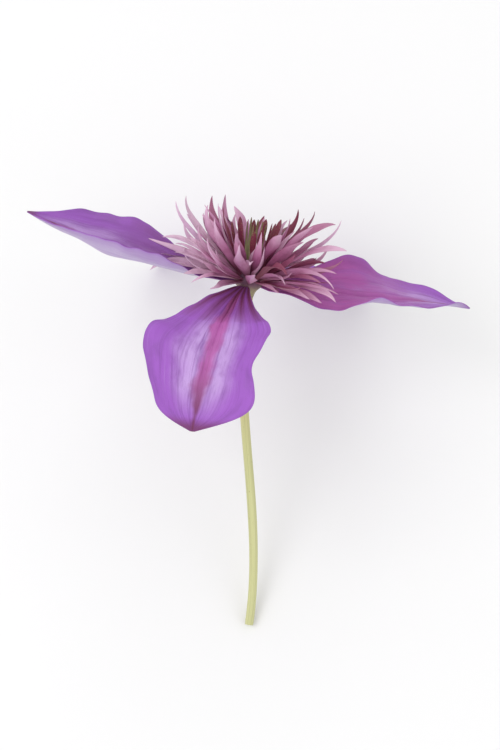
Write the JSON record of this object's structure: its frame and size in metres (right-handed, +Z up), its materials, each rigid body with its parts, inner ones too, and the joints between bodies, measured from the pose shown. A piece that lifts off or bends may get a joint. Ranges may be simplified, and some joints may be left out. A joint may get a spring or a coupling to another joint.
{
  "type": "clematis flower",
  "caption": "Single clematis flower as picked: broad pointed tepals around a spiky boss of staminodes, on a slender cut stalk, lying face up at a slant.",
  "frame": {"origin": "on the surface that the flower lies on, below the middle of its bounding box", "axes": "+Z up from the surface; +X across the flower from its left tepal's tip to its right tepal's tip; -Y along the surface towards the stalk's cut end, with the flower's face rising towards +Y"},
  "size_m": [0.1099, 0.0988, 0.0786],
  "materials": {
    "tepal": "satin",
    "staminode": "satin",
    "stamen": "satin",
    "pistil": "satin",
    "stalk": "satin"
  },
  "bodies": {
    "root": {"tepal_front": "tepal", "tepal_left": "tepal", "tepal_right": "tepal", "tepal_back_left": "tepal", "tepal_back_right": "tepal", "staminode_01": "staminode", "staminode_02": "staminode", "staminode_03": "staminode", "staminode_04": "staminode", "staminode_05": "staminode", "staminode_06": "staminode", "staminode_07": "staminode", "staminode_08": "staminode", "staminode_09": "staminode", "staminode_10": "staminode", "staminode_11": "staminode", "staminode_12": "staminode", "staminode_13": "staminode", "staminode_14": "staminode", "staminode_15": "staminode", "staminode_16": "staminode", "staminode_17": "staminode", "staminode_18": "staminode", "staminode_19": "staminode", "staminode_20": "staminode", "staminode_21": "staminode", "staminode_22": "staminode", "staminode_23": "staminode", "staminode_24": "staminode", "staminode_25": "staminode", "staminode_26": "staminode", "staminode_27": "staminode", "staminode_28": "staminode", "staminode_29": "staminode", "staminode_30": "staminode", "staminode_31": "staminode", "staminode_32": "staminode", "staminode_33": "staminode", "staminode_34": "staminode", "stamen_01": "stamen", "stamen_02": "stamen", "stamen_03": "stamen", "stamen_04": "stamen", "stamen_05": "stamen", "stamen_06": "stamen", "stamen_07": "stamen", "stamen_08": "stamen", "stamen_09": "stamen", "stamen_10": "stamen", "stamen_11": "stamen", "stamen_12": "stamen", "pistil_01": "pistil", "pistil_02": "pistil", "pistil_03": "pistil", "pistil_04": "pistil", "pistil_05": "pistil", "pistil_06": "pistil", "receptacle": "stalk", "stalk": "stalk"}
  },
  "joints": []
}
